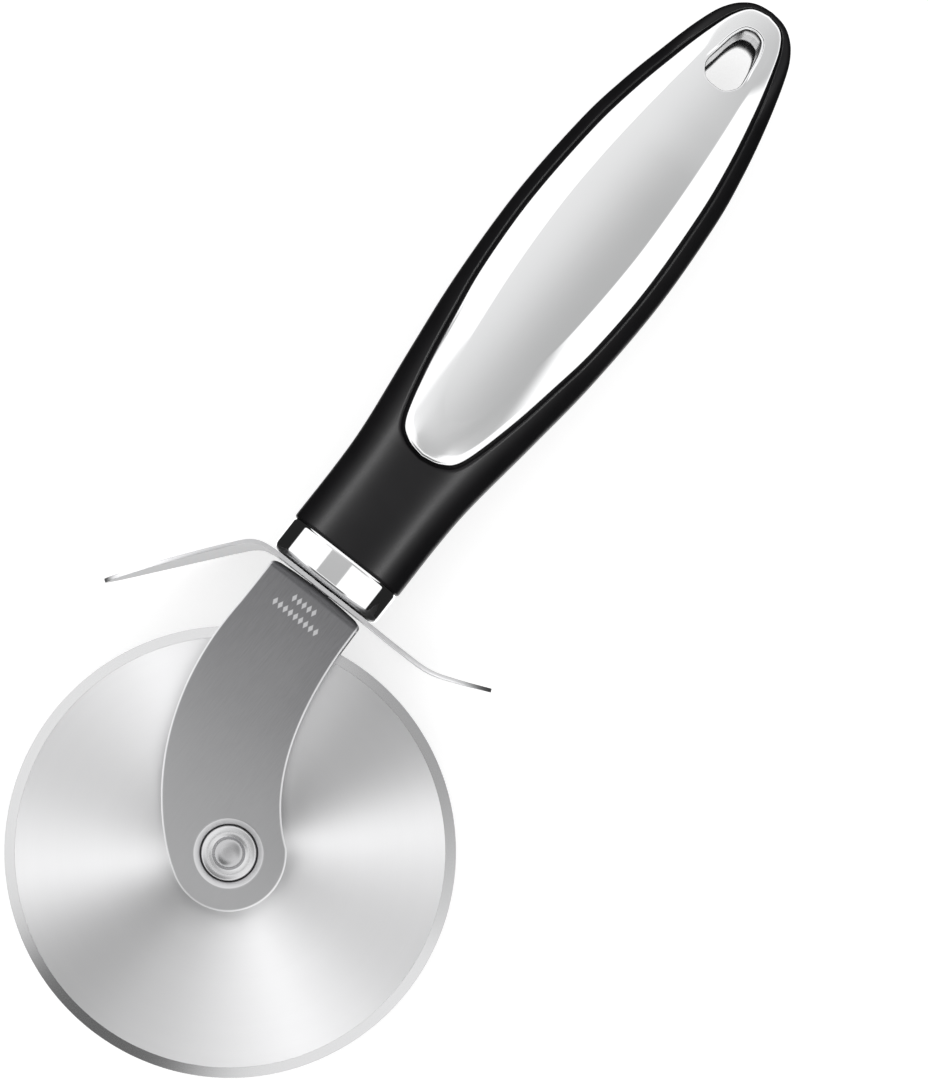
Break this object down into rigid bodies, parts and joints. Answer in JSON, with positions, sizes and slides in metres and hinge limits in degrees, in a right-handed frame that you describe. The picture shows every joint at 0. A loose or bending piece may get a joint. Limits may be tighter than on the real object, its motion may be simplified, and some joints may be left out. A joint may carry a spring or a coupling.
{
  "type": "pastry cutter wheel",
  "caption": "Hand-held rolling cutter: a round blade turning in a folded steel yoke, with a thumb guard, bright ferrule and a soft grip with metal inlays and a hang hole.",
  "frame": {"origin": "on the surface the tool lies on, under the middle of its box", "axes": "+Z along the wheel's axle, upwards with the tool lying flat; +Y along the handle, from the wheel towards the hang hole; +X across it, on the side the wheel is offset to"},
  "size_m": [0.0874, 0.2168, 0.0212],
  "materials": {
    "blade_steel": "brushed in circles",
    "satin_steel": "satin",
    "guard_steel": "fine satin",
    "polished_steel": "polished",
    "fastener_steel": "plain",
    "bright_chrome": "mirror",
    "insert_brass": "plain",
    "nylon": "natural",
    "core_plastic": "moulded",
    "soft_grip": "soft satin"
  },
  "bodies": {
    "handle": {"axle_rivet": "polished_steel", "front_rivet_washer": "polished_steel", "rear_rivet_washer": "polished_steel", "yoke": "satin_steel", "thumb_guard": "guard_steel", "ferrule": "bright_chrome", "tang_screw": "fastener_steel", "tang_lock_washer": "fastener_steel", "threaded_insert": "insert_brass", "handle_core": "core_plastic", "grip_sleeve": "soft_grip", "front_inlay": "bright_chrome", "rear_inlay": "bright_chrome", "inlay_pin_1": "fastener_steel", "inlay_pin_2": "fastener_steel", "inlay_pin_3": "fastener_steel"},
    "wheel": {"cutting_wheel": "blade_steel", "wheel_bushing": "nylon", "front_thrust_washer": "nylon", "rear_thrust_washer": "nylon"}
  },
  "joints": [
    {"name": "wheel_spin", "type": "hinge", "parent": "handle", "child": "wheel", "pos_m": [0.00374, -0.06842, 0.0106], "axis": [0, 0, 1], "continuous": true}
  ]
}
